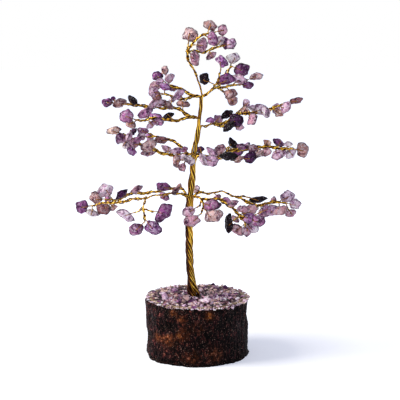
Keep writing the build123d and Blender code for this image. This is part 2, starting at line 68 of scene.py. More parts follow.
def fullTurn(count):
    return [index * tau / count for index in range(count)]


def turned(x, y, angle):
    return x * cos(angle) - y * sin(angle), x * sin(angle) + y * cos(angle)


def addObject(name, data, spot=None):  # a camera or lamp stands at its spot and looks at the tree
    made = bpy.data.objects.new(name, data)
    if spot is not None:
        made.location = spot
        made.rotation_euler = (aimPoint - Vector(spot)).to_track_quat("-Z", "Y").to_euler()
    scene.collection.objects.link(made)
    return made


# Camera, at the photo's angle
cameraFit = {"lens": 146.9, "sensor": 36.0}
cameraData = bpy.data.cameras.new("camera")
cameraData.lens = cameraFit["lens"]
cameraData.sensor_width = cameraFit["sensor"]
scene.camera = addObject("camera", cameraData, eyePoint)


# Material helpers
def addNode(tree, kind, inputs=None, **settings):
    made = tree.nodes.new("ShaderNode" + kind)
    for name, value in settings.items():
        setattr(made, name, value)
    for socket, value in (inputs or {}).items():
        if isinstance(value, bpy.types.NodeSocket):
            tree.links.new(value, made.inputs[socket])
        else:
            made.inputs[socket].default_value = value
    return made


def startMaterial(name, **sockets):
    material = bpy.data.materials.new(name)
    material.use_nodes = True
    shader = material.node_tree.nodes["Principled BSDF"]
    for socket, value in sockets.items():
        shader.inputs[socket.replace("_", " ")].default_value = value
    return material, material.node_tree, shader


def setColour(tree, shader, colour):
    tree.links.new(colour, shader.inputs["Base Color"])


def objectSpot(tree):
    return addNode(tree, "TexCoord").outputs["Object"]


def pointTone(tree, output="Color", name="tone"):  # the tone that a heap gives each point
    return addNode(tree, "Attribute", attribute_name=name).outputs[output]


def grainNoise(tree, scale, detail=3.0, stretch=(1, 1, 1), rough=0.55):
    squeeze = addNode(tree, "Mapping", {"Vector": objectSpot(tree), "Scale": stretch})
    return addNode(tree, "TexNoise", {"Vector": squeeze.outputs[0], "Scale": scale, "Detail": detail,
                                      "Roughness": rough}).outputs["Fac"]


def ramp(tree, factor, stops):  # a stop is a position and a colour, or one number for a grey
    made = addNode(tree, "ValToRGB", {"Fac": factor})
    bar = made.color_ramp
    while len(bar.elements) < len(stops):
        bar.elements.new(0.5)
    for element, (position, colour) in zip(bar.elements, stops):
        element.position = position
        element.color = (*colour, 1) if isinstance(colour, tuple) else (colour, colour, colour, 1)
    return made.outputs["Color"]


def mixColours(tree, factor, first, second, blend="MIX"):
    made = addNode(tree, "Mix", data_type="RGBA", blend_type=blend, clamp_result=True)
    for socket, value in ((made.inputs[0], factor), (made.inputs[6], first), (made.inputs[7], second)):
        if isinstance(value, bpy.types.NodeSocket):
            tree.links.new(value, socket)
        elif socket.type == "RGBA":
            socket.default_value = (*value, 1)
        else:
            socket.default_value = value
    return made.outputs[2]


def mapRange(tree, value, span, goal=(0.0, 1.0)):
    return addNode(tree, "MapRange", {"Value": value, "From Min": span[0], "From Max": span[1],
                                      "To Min": goal[0], "To Max": goal[1]}).outputs[0]


def multiplied(tree, first, second):
    return mixColours(tree, 1.0, first, second, "MULTIPLY")


def addBump(tree, shader, height, strength, distance):
    bump = addNode(tree, "Bump", {"Height": height, "Strength": strength, "Distance": distance})
    tree.links.new(bump.outputs[0], shader.inputs["Normal"])


# Mesh helpers: a heap gathers points, faces and one tone for each point
def newHeap():
    return {"points": [], "faces": [], "tones": []}


def finishPiece(heap, name, material, nodes, toneName="tone"):
    mesh = bpy.data.meshes.new(name)
    mesh.from_pydata(heap["points"], [], heap["faces"])
    mesh.shade_smooth()
    layer = mesh.attributes.new(toneName, "FLOAT_COLOR", "POINT")
    layer.data.foreach_set("color", [value for tone in heap["tones"] for value in (*tone, 1.0)])
    mesh.materials.append(material)
    piece = addObject(name, mesh)
    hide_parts(*nodes)
    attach(piece, "root")


def addSkin(heap, start, columns, flip=False):
    # Faces of a closed skin, whose points from start on are in columns of one length
    rows = (len(heap["points"]) - start) // columns
    for column in range(columns):
        here, there = start + column * rows, start + (column + 1) % columns * rows
        for row in range(rows):
            after = (row + 1) % rows
            face = (here + row, there + row, there + after, here + after)
            heap["faces"].append((face[0], face[3], face[2], face[1]) if flip else face)


def carriedAxes(points):  # a steady pair of side directions at each point of a path
    axes = []
    side = None
    for index in range(len(points)):
        ahead = points[min(index + 1, len(points) - 1)] - points[max(index - 1, 0)]
        ahead.normalize()
        if side is None:
            side = ahead.orthogonal()
        side = (side - ahead * side.dot(ahead)).normalized()
        axes.append((side.copy(), ahead.cross(side)))
    return axes


def addWire(heap, points, radius, cores, glow):
    # A round wire. Its tone is painted light and shade: bright where it faces away from the core that it is
    # wound on, dark where it faces it
    sides = wire["sides"]
    start = len(heap["points"])
    for index, (centre, (across, up)) in enumerate(zip(points, carriedAxes(points))):
        outward = (centre - cores[index]).normalized() if cores else None
        for angle in fullTurn(sides):
            normal = across * cos(angle) + up * sin(angle)
            heap["points"].append(centre + normal * radius)
            lit = (0.5 + 0.5 * normal.dot(outward) if cores else 0.8) * glow[index]
            heap["tones"].append((lit, lit, lit))
    for row in range(start, start + (len(points) - 1) * sides, sides):
        for side in range(sides):
            first, second = row + side, row + (side + 1) % sides
            heap["faces"].append((first, second, second + sides, first + sides))
    heap["faces"].append(tuple(reversed(range(start, start + sides))))
    heap["faces"].append(tuple(range(len(heap["points"]) - sides, len(heap["points"]))))


def between(a, b, start, end, t):
    return a * ((end - t) / (end - start)) + b * ((t - start) / (end - start))


def smoothRun(points, gap, lead=None):
    # A smooth curve through all the points, with a point about every gap
    padded = [lead or points[0] * 2 - points[1]] + points + [points[-1] * 2 - points[-2]]
    run = []
    for a, b, c, d in zip(padded, padded[1:], padded[2:], padded[3:]):
        t1 = sqrt((b - a).length)
        t2 = t1 + sqrt((c - b).length)
        t3 = t2 + sqrt((d - c).length)
        count = max(1, ceil((c - b).length / gap))
        for index in range(count):
            t = t1 + (t2 - t1) * index / count
            middle = between(b, c, t1, t2, t)
            early = between(between(a, b, 0, t1, t), middle, 0, t2, t)
            late = between(middle, between(c, d, t2, t3, t), t1, t3, t)
            run.append(between(early, late, t1, t2, t))
    run.append(points[-1].copy())
    return run


def distancesAlong(run):
    return list(itertools.accumulate(((end - start).length for start, end in zip(run, run[1:])), initial=0.0))


print("stage: camera and helpers ready")

# The log: bark over a wood core
log = {
    "radius": 0.038, "height": 0.042, "sides": 26, "levels": 5, "barkThickness": 0.003, "ridge": 0.0011,
    "plate": 0.0007, "waist": 0.0007, "lip": 0.001, "lipShown": 0.0003, "rimHeight": 0.0012,
}
bark = {
    "around": 520, "levels": 84, "shift": 0.001, "lean": 0.0012,
    # how close together around and up, and how deep in metres
    "plates": (150, 55, 0.0005), "fissures": (320, 70, 0.0007), "grain": (900, 420, 0.0003),
    # across, seen height, radius in metres, depth in metres (a dent is below zero) and warmth
    "marks": [
        (0.0, 0.075, 0.0034, 0.0006, 0.25), (0.0, 0.074, 0.0016, -0.0011, -0.5),
        (0.1, 0.112, 0.0026, 0.0003, 1.0), (-0.28, 0.075, 0.0042, -0.0013, -0.9),
        (-0.22, 0.082, 0.0042, -0.001, -0.9), (-0.33, 0.05, 0.003, 0.0004, 0.7),
        (-0.25, 0.045, 0.0055, 0.0004, 0.6), (-0.13, 0.1, 0.003, 0.0002, 0.5),
        (-0.13, 0.055, 0.004, 0.0002, 0.5), (-0.2, 0.12, 0.0025, 0.0002, 0.5),
        (0.15, -0.005, 0.005, 0.0002, 0.35), (-0.05, -0.02, 0.005, 0.0003, 0.3),
    ],
    "shadedFoot": (0.0008, 0.0045),
}
barkTop = log["height"] + log["rimHeight"]
woodRadius = log["radius"] - log["barkThickness"]


def barkGrow(height):
    lip = log["lipShown"] * max(0.0, 1 - height / (2 * log["lip"]))
    return lip - log["waist"] * sin(pi * (height / barkTop))


def plateRelief(angle, height):
    # The model's uneven plates, eased from one corner of its outlines to the next
    low = 2 * log["lip"]
    level = height / low if height < low else 1 + (height - low) / (barkTop - low) * (log["levels"] - 1)
    level = min(level, log["levels"] - 1e-6)
    turn = angle / tau * log["sides"]
    below, before = floor(level), floor(turn)
    rise, across = [part * part * (3 - 2 * part) for part in (level - below, turn - before)]
    lower, upper = [
        wobble(7 * row, before) * (1 - across) + wobble(7 * row, (before + 1) % log["sides"]) * across
        for row in (below, below + 1)]
    return lower * (1 - rise) + upper * rise


def barkMark(across, seen):
    x = across * layout["reach"]
    return place(across, -sqrt(log["radius"] ** 2 - x * x) / layout["reach"], seen)


def makeBark():
    heap = newHeap()
    marks = [(barkMark(across, seen), *rest) for across, seen, *rest in bark["marks"]]
    for angle in fullTurn(bark["around"]):
        for level in range(bark["levels"] + 1):
            height = barkTop * level / bark["levels"]
            spot = ringPoint(1, angle) * log["radius"]
            spot.z = height
            plates, fissures, grain = [
                Vector((spot.x * around, spot.y * around, height * up))
                for around, up, _ in (bark["plates"], bark["fissures"], bark["grain"])]
            swell = 0.45 * sin(3 * angle + 0.6)
            swell += 0.25 * sin(5 * angle + (1 + height / log["height"]))
            radius = log["radius"] + barkGrow(height) + log["ridge"] * swell
            radius += log["plate"] * plateRelief(angle, height)
            radius -= cos(angle) * (bark["shift"] + bark["lean"] * (height / barkTop - 0.5))
            radius += bark["plates"][2] * noise.noise(plates)
            radius -= bark["fissures"][2] * (1 - abs(noise.noise(fissures + Vector((7, 0, 0))))) ** 6
            radius += bark["grain"][2] * noise.fractal(grain, 0.6, 2.1, 4)
            warmth = 0.0
            for centre, size, depth, warm in marks:
                near = exp(-((spot - centre).length / size) ** 2)
                radius += depth * near
                warmth += warm * near
            heap["points"].append(ringPoint(radius, angle, height))
            heap["tones"].append((0.5 + 0.5 * max(-1, min(1, warmth)),) * 3)
        for height in (barkTop, barkTop * 0.5, 0.0):  # the inside, against the wood
            heap["points"].append(ringPoint(woodRadius, angle, height))
            heap["tones"].append((0.5, 0.5, 0.5))
    addSkin(heap, 0, bark["around"])
    finishPiece(heap, "barkSkin", barkMaterial(), ["log_bark"], "warmth")


def barkMaterial():
    material, tree, shader = startMaterial(
        "lacqueredBark", Roughness=0.42, Coat_Weight=0.02, Coat_Roughness=0.15, Specular_IOR_Level=0.02)
    mottles = grainNoise(tree, 500, 8.0, (1, 1, 0.75), 0.76)
    colour = ramp(tree, mottles, [
        (0.44, 0.001), (0.52, (0.008, 0.003, 0.004)), (0.57, (0.04, 0.012, 0.013)),
        (0.62, (0.135, 0.042, 0.03)), (0.68, (0.34, 0.16, 0.1)), (0.75, (0.68, 0.5, 0.4))])
    patches = grainNoise(tree, 110, 4.0, (1, 1, 0.9), 0.65)
    colour = multiplied(tree, colour, ramp(tree, patches, [
        (0.38, (0.16, 0.15, 0.18)), (0.5, (0.8, 0.75, 0.75)), (0.62, (1.7, 1.6, 1.5))]))
    threads = grainNoise(tree, 1000, 3.0, (1, 1, 0.1), 0.6)
    colour = multiplied(tree, colour, ramp(tree, threads, [(0.38, (0.4, 0.4, 0.45)), (0.55, 1.2)]))
    warm = pointTone(tree, "Fac", "warmth")
    colour = multiplied(tree, colour, ramp(tree, warm, [(0.1, 0.05), (0.5, 1)]))
    embers = ramp(tree, mottles, [(0.42, (0.02, 0.006, 0.003)), (0.52, (0.2, 0.05, 0.011)),
                                  (0.62, (0.56, 0.22, 0.045)), (0.72, (0.85, 0.58, 0.26))])
    colour = mixColours(tree, ramp(tree, warm, [(0.5, 0), (0.95, 0.65)]), colour, embers)
    spot = addNode(tree, "SeparateXYZ", {"Vector": objectSpot(tree)})
    # painted light and shade: the bark is lighter and pinker on its left, darker and bluer on its right
    paintedSideLight = mapRange(tree, spot.outputs["X"], (-log["radius"], log["radius"]))
    colour = multiplied(tree, colour, ramp(tree, paintedSideLight, [
        (0.05, (1.5, 1.35, 1.6)), (0.3, (1.15, 1.0, 0.95)), (0.58, (0.85, 0.75, 0.75)),
        (0.9, (0.5, 0.55, 0.7))]))
    foot = mapRange(tree, spot.outputs["Z"], bark["shadedFoot"])
    colour = multiplied(tree, colour, ramp(tree, foot, [(0.0, (0.12, 0.12, 0.14)), (1.0, 1)]))
    # painted glints: small pale flecks on the lacquer
    paintedBarkGlints = ramp(tree, grainNoise(tree, 1500, 2.0, (1, 1, 0.8), 0.5), [(0.64, 0), (0.72, 0.9)])
    setColour(tree, shader, mixColours(tree, paintedBarkGlints, colour, (0.34, 0.2, 0.16)))
    addBump(tree, shader, grainNoise(tree, 1100, 5.0, (1, 1, 0.6), 0.7), 0.9, 0.0007)
    return material


def finishWood():
    material, tree, shader = startMaterial("sawnEndGrain", Roughness=0.62)
    rings = addNode(tree, "TexWave", {
        "Vector": objectSpot(tree), "Scale": 95.0, "Distortion": 3.0, "Detail": 2.0, "Detail Scale": 40.0,
    }, wave_type="RINGS", rings_direction="Z")
    setColour(tree, shader, ramp(tree, rings.outputs["Fac"], [
        (0.1, (0.3, 0.18, 0.09)), (0.8, (0.52, 0.36, 0.21))]))
    addBump(tree, shader, grainNoise(tree, 900), 0.3, 0.0003)
    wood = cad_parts["log_wood"]
    wood.data.materials.clear()
    wood.data.materials.append(material)


makeBark()
finishWood()
print("stage: log ready")

# Stone tones, used by the chips and by the crushed stone
stoneTones = {
    "black": (0.01, 0.002, 0.008), "inkViolet": (0.08, 0.018, 0.092), "deepPurple": (0.22, 0.068, 0.22),
    "purple": (0.38, 0.16, 0.34), "violet": (0.41, 0.175, 0.46), "darkMauve": (0.265, 0.12, 0.13),
    "mauve": (0.55, 0.32, 0.41), "pinkMauve": (0.66, 0.415, 0.45), "brownMauve": (0.46, 0.275, 0.25),
    "greyMauve": (0.57, 0.41, 0.39), "greyBeige": (0.65, 0.51, 0.4), "lilac": (0.69, 0.47, 0.65),
    "paleLilac": (0.77, 0.63, 0.75), "pinkLilac": (0.72, 0.5, 0.63), "peach": (0.76, 0.5, 0.37),
    "clear": (0.9, 0.86, 0.87),
}

# The glue bed and the crushed stone on it
glue = {
    "height": 0.0015, "hole": 0.004, "around": 96, "rings": 26, "over": 0.0014, "overRise": 0.0002,
    "ripple": 0.00035, "rippleScale": 260, "stemRise": 0.0012, "rimRise": 0.0004, "paleFrom": 0.96,
    "gapShade": (0.03, 0.01, 0.018), "pale": (0.33, 0.24, 0.16),
}
gravel = {
    "spread": 0.0366, "dome": 0.0002, "count": 330, "topCount": 90, "topShrink": 0.05, "topTurn": 1.3,
    "topRise": 0.0006, "small": 0.0028, "large": 0.0094, "usual": 0.0048, "sink": 0.11, "stemFree": 0.0036,
    "backFall": 0.0003, "rimCount": 140, "rimReach": 0.0377, "rimSmall": 0.0014, "rimLarge": 0.0046,
    "seed": 31, "corners": 9, "shape": (0.56, 0.4, 0.31), "lean": 0.6,
    # how often each tone comes, on the rim and on the whole bed
    "rimMix": {"clear": 4, "greyBeige": 4, "paleLilac": 3, "greyMauve": 2, "brownMauve": 1},
    "mix": {"paleLilac": 5, "lilac": 2, "clear": 4, "mauve": 5, "greyMauve": 7, "greyBeige": 6, "black": 4,
            "purple": 2, "deepPurple": 3, "inkViolet": 5, "brownMauve": 5, "darkMauve": 5},
    # across, back, height and size in tenths of a millimetre, and tone, of stones that stand out
    "placed": [
        (214, 262, 442, 68, "inkViolet"), (265, -272, 425, 64, "paleLilac"), (300, -238, 432, 60, "clear"),
        (350, -130, 440, 62, "paleLilac"), (55, -190, 452, 105, "paleLilac"),
        (140, -262, 446, 70, "greyBeige"), (-80, -130, 454, 85, "greyMauve"),
        (-130, -190, 450, 62, "inkViolet"), (-170, 110, 458, 80, "purple"), (-250, -80, 448, 100, "lilac"),
        (20, -290, 444, 75, "greyMauve"), (185, -140, 450, 70, "clear"),
    ],
}


def makeGlue():
    heap = newHeap()
    foot = trunkCentre(log["height"])
    foot.z = 0
    for angle in fullTurn(glue["around"]):
        hole, edge = foot + ringPoint(glue["hole"], angle), ringPoint(woodRadius, angle)
        for ring in range(glue["rings"] + 1):
            share = ring / glue["rings"]
            spot = hole.lerp(edge, share)
            ripple = noise.noise(Vector((spot.x * glue["rippleScale"], spot.y * glue["rippleScale"], 3)))
            spot.z = log["height"] + glue["height"] + glue["ripple"] * ripple
            spot.z += glue["stemRise"] * (1 - share) ** 12 + glue["rimRise"] * share ** 10
            heap["points"].append(spot)
            # painted shade: the glue under the stones is near black, for the shade in the gaps between them;
            # it is pale where it runs over the rim
            heap["tones"].append(glue["pale"] if share > glue["paleFrom"] else glue["gapShade"])
        # dried runs of glue over the rim, then the underside, on the wood
        run = woodRadius + glue["over"] * (1 + 0.9 * noise.noise(ringPoint(1, angle) * 9))
        heap["points"] += [ringPoint(run, angle, barkTop + glue["overRise"]),
                           ringPoint(woodRadius, angle, log["height"]), hole + Vector((0, 0, log["height"]))]
        heap["tones"] += [glue["pale"], glue["gapShade"], glue["gapShade"]]
    addSkin(heap, 0, glue["around"], True)
    material, tree, shader = startMaterial("driedGlue", Roughness=0.35, Specular_IOR_Level=0.02)
    cloud = ramp(tree, grainNoise(tree, 420, 4.0), [(0.4, (0.35, 0.28, 0.24)), (0.58, 1.2)])
    setColour(tree, shader, multiplied(tree, pointTone(tree), cloud))
    finishPiece(heap, "glueSkin", material, ["glue_bed"])


def addShard(heap, dice, centre, size, tone):
    # A crushed crystal: the hull of a few uneven points, longer than it is thick
    hull = bmesh.new()
    turn = dice.uniform(0, tau)
    lean = dice.uniform(-gravel["lean"], gravel["lean"])
    for _ in range(gravel["corners"]):
        spot = Vector((dice.gauss(0, 1), dice.gauss(0, 1), dice.gauss(0, 1))).normalized()
        spot *= dice.uniform(0.75, 1.0)
        spot = spot * Vector(gravel["shape"]) * size
        spot.x, spot.z = turned(spot.x, spot.z, lean)
        spot.x, spot.y = turned(spot.x, spot.y, turn)
        hull.verts.new(centre + spot)
    made = bmesh.ops.convex_hull(hull, input=hull.verts)
    loose = [item for item in made["geom_interior"] if isinstance(item, bmesh.types.BMVert)]
    bmesh.ops.delete(hull, geom=loose, context="VERTS")
    bmesh.ops.recalc_face_normals(hull, faces=hull.faces)
    for face in hull.faces:  # each face keeps its own points, so its edges stay sharp
        start = len(heap["points"])
        heap["points"] += [vert.co.copy() for vert in face.verts]
        heap["tones"] += [tone] * len(face.verts)
        heap["faces"].append(tuple(range(start, start + len(face.verts))))
    hull.free()


def makeGravel():
    heap = newHeap()
    dice = random.Random(gravel["seed"])
    foot = trunkCentre(log["height"])
    golden = pi * (3 - sqrt(5))
    bag, rimBag = [[stoneTones[tone] for tone, share in gravel[mix].items() for _ in range(share)]
                   for mix in ("mix", "rimMix")]
    for layer, count in enumerate((gravel["count"], gravel["topCount"])):
        for index in range(count):
            radius = gravel["spread"] * sqrt((index + 0.5) / count) * (1 - gravel["topShrink"] * layer)
            angle = index * golden + layer * gravel["topTurn"] + dice.uniform(-0.05, 0.05)
            size = dice.triangular(gravel["small"], gravel["large"], gravel["usual"])
            height = log["height"] + glue["height"] - size * gravel["sink"] + layer * gravel["topRise"]
            height += gravel["dome"] * (1 - (radius / gravel["spread"]) ** 2)
            height -= gravel["backFall"] * max(0, sin(angle)) * radius / gravel["spread"]
            centre = ringPoint(radius, angle, height + dice.uniform(-0.0003, 0.0003))
            tone = dice.choice(bag)
            if hypot(centre.x - foot.x, centre.y - foot.y) > gravel["stemFree"] + size / 3:
                addShard(heap, dice, centre, size, tone)
    for index in range(gravel["rimCount"]):
        angle = (index + dice.uniform(-0.4, 0.4)) * tau / gravel["rimCount"]
        radius = gravel["rimReach"] + dice.uniform(-0.0008, 0.0006)
        centre = ringPoint(radius, angle, barkTop + dice.uniform(-0.0004, 0.0004))
        size = dice.triangular(gravel["rimSmall"], gravel["rimLarge"])
        addShard(heap, dice, centre, size, dice.choice(rimBag))
    for *spot, size, tone in gravel["placed"]:
        addShard(heap, dice, Vector([part / 10000 for part in spot]), size / 10000, stoneTones[tone])
    finishPiece(heap, "crushedStone", stoneMaterial("crushedCrystal", 0.18, 430), ["gravel"])


def stoneMaterial(name, clearness, cloudScale):
    # Tumbled or crushed amethyst: each stone's own tone, clouded and banded from dark to pale, with painted
    # light and shade on facet-like cells and painted glints
    material, tree, shader = startMaterial(
        name, Roughness=0.08, IOR=1.3, Transmission_Weight=clearness, Specular_IOR_Level=0.03)
    tone = pointTone(tree)
    colour = multiplied(tree, tone, ramp(tree, grainNoise(tree, cloudScale, rough=0.6), [
        (0.36, (0.17, 0.09, 0.17)), (0.44, (0.63, 0.48, 0.61)), (0.52, (1.07, 0.99, 0.98))]))
    drift = addNode(tree, "VectorMath", {0: grainNoise(tree, cloudScale * 0.8, 2.0), 1: (0.006, 0.004, 0.005),
                                         2: objectSpot(tree)}, operation="MULTIPLY_ADD")
    # painted light and shade: facet-like cells, each brighter or darker, as if each caught the light
    # differently
    paintedFacetLight = addNode(tree, "TexVoronoi", {"Vector": drift.outputs[0], "Scale": cloudScale * 1.15})
    colour = multiplied(tree, colour, ramp(tree, paintedFacetLight.outputs["Color"], [
        (0.22, (0.44, 0.31, 0.42)), (0.38, (0.95, 0.87, 0.89)), (0.55, (1.15, 1.12, 1.12)),
        (0.74, (1.7, 1.65, 1.65))]))
    paler = ramp(tree, tone, [(0.01, 0), (0.06, 0.07), (0.25, 0.5)])
    lighter = mixColours(tree, paler, tone, (0.98, 0.88, 0.95))
    veil = ramp(tree, grainNoise(tree, cloudScale * 1.7, 4.0, rough=0.65), [(0.52, 0), (0.6, 1)])
    colour = mixColours(tree, veil, colour, lighter)
    # painted glints: small pale specks, fainter on the darkest stones
    paintedStoneGlints = ramp(tree, grainNoise(tree, cloudScale * 3.2, 2.0), [(0.62, 0), (0.67, 1)])
    paintedStoneGlints = multiplied(tree, paintedStoneGlints, ramp(tree, tone, [(0.06, 0.22), (0.25, 0.52)]))
    setColour(tree, shader, mixColours(tree, paintedStoneGlints, colour, (0.98, 0.95, 0.98)))
    addBump(tree, shader, grainNoise(tree, cloudScale * 1.8), 0.5, 0.0008)
    return material


# The twisted wire: twelve cords make the trunk, and each goes on as one branch
trunk = {
    "axis": [(-0.03, 0.0), (-0.03, 0.17), (-0.05, 0.22), (-0.06, 0.25), (-0.067, 0.3), (-0.068, 0.4),
             (-0.067, 0.45), (-0.055, 0.5), (-0.038, 0.56), (-0.02, 0.6), (-0.01, 0.64), (0.0, 0.67),
             (0.01, 0.69), (0.022, 0.72), (0.027, 0.75), (0.035, 0.78)],
    "socketDepth": 0.018, "clearance": 0.0003, "pitch": 0.042, "stepsPerTurn": 8, "alignedStep": 18,
    "footFlare": 0.18, "flareHeight": 0.02, "splay": 0.62, "splayHeight": 0.006, "splayRise": 0.004,
    "spacing": 0.00152, "fineness": 6, "ease": 0.004,
}
wire = {
    "radius": 0.00031, "strands": 4, "sides": 6, "trunkLay": 0.03, "branchLay": 0.0066, "sideLay": 0.0054,
    "sideShare": 0.94, "gap": 0.0006, "crimp": 0.00022, "crimpScale": 210, "crimpEase": 0.006,
    "pairRadius": 0.00027, "pairLay": 0.0044, "pairGap": 0.0005, "shortPair": 0.0004, "tailRun": 0.03,
    "tailLay": 0.014, "tailOut": 0.00082, "tailGap": 0.00042,
    # how bright each strand and each loop leg is, as painted light and shade; the wire on stones, the stem
    # and the branches; the stem's painted shade in its grooves and on its left; its darker foot
    "shines": (1.2, 0.26, 1.0, 0.55), "legShine": 0.95, "shadedLeg": 0.26, "onStone": 0.5, "stemShine": 1.25,
    "branchShine": 0.8, "groove": 0.28, "paintedLeftShade": 0.74, "leftShadeHigh": 0.3, "leftShadeTop": 0.165,
    "leftShadeFade": 0.05, "footDarkening": 0.5, "footRise": 0.016,
}
trunkLine = [place(across, 0, seen) for across, seen in trunk["axis"]]


def trunkCentre(height):
    found = Vector((0, 0, 0))
    for offset in (-1, -0.5, 0, 0.5, 1):  # eased over a short stretch, so that the stem has no corners
        wanted = height + offset * trunk["ease"]
        for low, high in zip(trunkLine, trunkLine[1:]):
            share = (wanted - low.z) / (high.z - low.z)
            if share <= 1:
                break
        found += (low + (high - low) * share) / 5
    return found


def climbRun(slotPlace, steps):
    across = slotPlace[0] * trunk["spacing"]
    back = (slotPlace[1] - 1 / 3) * sqrt(3) / 2 * trunk["spacing"]
    run = []
    for index in range(steps * trunk["fineness"] + 1):
        step = index / trunk["fineness"]
        height = log["height"] - trunk["socketDepth"] + trunk["clearance"]
        height += step * trunk["pitch"] / trunk["stepsPerTurn"]
        above = height - log["height"]
        flare = 1 + trunk["footFlare"] * min(1, max(0, 1 - above / trunk["flareHeight"]))
        flare += trunk["splay"] * exp(-((above - trunk["splayRise"]) / trunk["splayHeight"]) ** 2)
        turn = -tau / trunk["stepsPerTurn"] * (step - trunk["alignedStep"])
        run.append(trunkCentre(height) + Vector((*turned(across, back, turn), 0)) * flare)
    return run


def crimped(run, seed):  # hand-bent wire is never quite smooth
    return [spot + noise.noise_vector(Vector((travelled * wire["crimpScale"], seed * 7.3, 0))) * wire["crimp"]
            * min(1, travelled / wire["crimpEase"]) for spot, travelled in zip(run, distancesAlong(run))]


def windStrands(heap, run, radius, startTurn, strandsAt, layAt, glowAt):
    # Strands wound round a run. Where their number falls, the last one tucks in beside the first
    travelled = distancesAlong(run)
    strands = [([], [], []) for _ in range(wire["strands"])]
    turn = startTurn
    for index, (spot, (across, up)) in enumerate(zip(run, carriedAxes(run))):
        if index:
            turn -= tau * (travelled[index] - travelled[index - 1]) / layAt(travelled[index])
        number = strandsAt(travelled[index] / travelled[-1], travelled[index])
        coil = radius / sin(pi / number)
        for strand in range(number):
            angle = turn + strand * tau / number
            outwards = across * cos(angle) + up * sin(angle)
            path, core, glow = strands[strand]
            path.append(spot + outwards * coil)
            core.append(spot)
            # painted light and shade: some strands are lit, others shaded
            glow.append(wire["shines"][strand] * glowAt(index, spot, outwards))
    for path, core, glow in strands:
        if len(path) > 2:
            addWire(heap, path, radius, core, glow)


def wireMaterial():
    material, tree, shader = startMaterial("agedBrass", Metallic=1.0, Roughness=0.3)
    bright = ramp(tree, pointTone(tree, "Fac"), [
        (0.14, (0.03, 0.01, 0.007)), (0.32, (0.15, 0.055, 0.02)), (0.5, (0.48, 0.22, 0.026)),
        (0.72, (0.9, 0.52, 0.045)), (0.95, (1.0, 0.7, 0.11))])
    tarnish = ramp(tree, grainNoise(tree, 170, rough=0.6), [(0.38, (0.55, 0.46, 0.42)), (0.54, 1)])
    setColour(tree, shader, multiplied(tree, bright, tarnish))
    return material


brass = wireMaterial()
tumbled = stoneMaterial("tumbledAmethyst", 0.35, 290)
makeGlue()
makeGravel()
print("stage: glue and crushed stone ready")

# Branches, from the foot up. All routes and most of the chips are the model's. A point is its place
# across and its depth in hundredths, and its seen height in thousandths. A chip has its width and
# height in hundredths after them, then its tilt and tone. Small stones have no solid in the model
branches = {}
branches["low_left"] = {
    "slot": (-1.5, 0), "steps": 18,
    "main": [(-12, 2, 490), (-18, 5, 497), (-25, 9, 490), (-33, 13, 487), (-43, 16, 480), (-54, 17, 480),
        (-62, 16, 465), (-69, 14, 460)],
    "sides": [],
    "chips": [(-15, 10, 500, 65, 45, 10, "brownMauve"), (-28, 3, 499, 100, 60, -10, "deepPurple"),
        (-50, 10, 492, 85, 55, 10, "mauve"), (-62, 10, 478, 100, 60, 5, "inkViolet"),
        (-73.5, 22, 462, 70, 55, 0, "purple"), (-75.5, 12, 490, 110, 90, 20, "paleLilac"),
        (-83, 14, 465, 80, 90, 45, "brownMauve")],
}
branches["low_left_droop"] = {
    "slot": (-1, -1), "steps": 18,
    "main": [(-13, -6, 478), (-22, -8, 480), (-30, -10, 475), (-37, -12, 473), (-42, -13, 466),
        (-52, -12, 463), (-60, -10, 455), (-67, -8, 452), (-78, -5, 450), (-86, -4, 442)],
    "sides": [
        [(-42, -13, 466), (-44, -18, 450), (-44.5, -21, 435), (-47, -22, 428), (-51, -23, 422)],
        [(-44.5, -21, 435), (-40, -22, 428), (-36, -22, 422)],
        [(-44.5, -21, 435), (-43.5, -20, 410), (-43, -19, 395)],
    ],
    "chips": [(-18, -14, 488, 70, 50, 0, "darkMauve"), (-27, -2, 470, 90, 50, -5, "purple"),
        (-77, -12, 433, 110, 70, 0, "darkMauve"), (-69, -2, 437, 60, 50, 0, "greyMauve"),
        (-86, 3, 421, 100, 50, 0, "clear"), (-94.5, -4, 440, 85, 90, 0, "deepPurple"),
        (-59, -24, 415, 130, 60, -30, "paleLilac"), (-50, -18, 372, 100, 90, 20, "purple"),
        (-28, -22, 422, 150, 80, 50, "deepPurple"), (-36, -22, 376, 120, 90, -20, "violet")],
}
branches["low_front"] = {
    "slot": (1, -1), "steps": 18,
    "main": [(0, -8, 470), (4, -11, 462), (9, -12, 463), (15, -14, 463), (20, -15, 458), (25, -16, 445),
        (30, -17, 430), (34, -18, 415), (37, -19, 400), (39, -20, 390)],
    "sides": [
        [(4, -11, 462), (2, -18, 447), (0, -23, 437)], [(4, -11, 462), (4.5, -19, 435), (3, -26, 418)],
        [(34, -18, 415), (37, -22, 410), (41, -24, 405)],
    ],
    "chips": [(-7, -25, 425, 100, 65, 10, "pinkLilac"), (-5, -30, 398, 130, 70, 5, "mauve"),
        (12, -21, 445, 130, 75, 10, "purple"), (13, -26, 410, 160, 80, 5, "greyMauve"),
        (25.5, -16, 392, 50, 165, 0, "black"), (33, -14, 370, 120, 80, -5, "pinkMauve"),
        (39.5, -25, 364, 70, 60, 0, "mauve"), (44, -17, 376, 100, 85, 15, "paleLilac"),
        (49.5, -25, 397, 100, 80, 0, "purple"), (43, -17, 430, 110, 70, 15, "pinkMauve"),
        (37, -27, 433, 80, 60, 0, "mauve"), (29, -25, 450, 80, 65, 0, "mauve")],
    "small": [(56, -12, 432, 70, 60, 20, "purple"), (31, -6, 402, 70, 50, 0, "pinkMauve"),
        (41.5, -22, 406, 90, 70, 10, "violet"), (23, -10, 458, 80, 50, -10, "purple")],
}
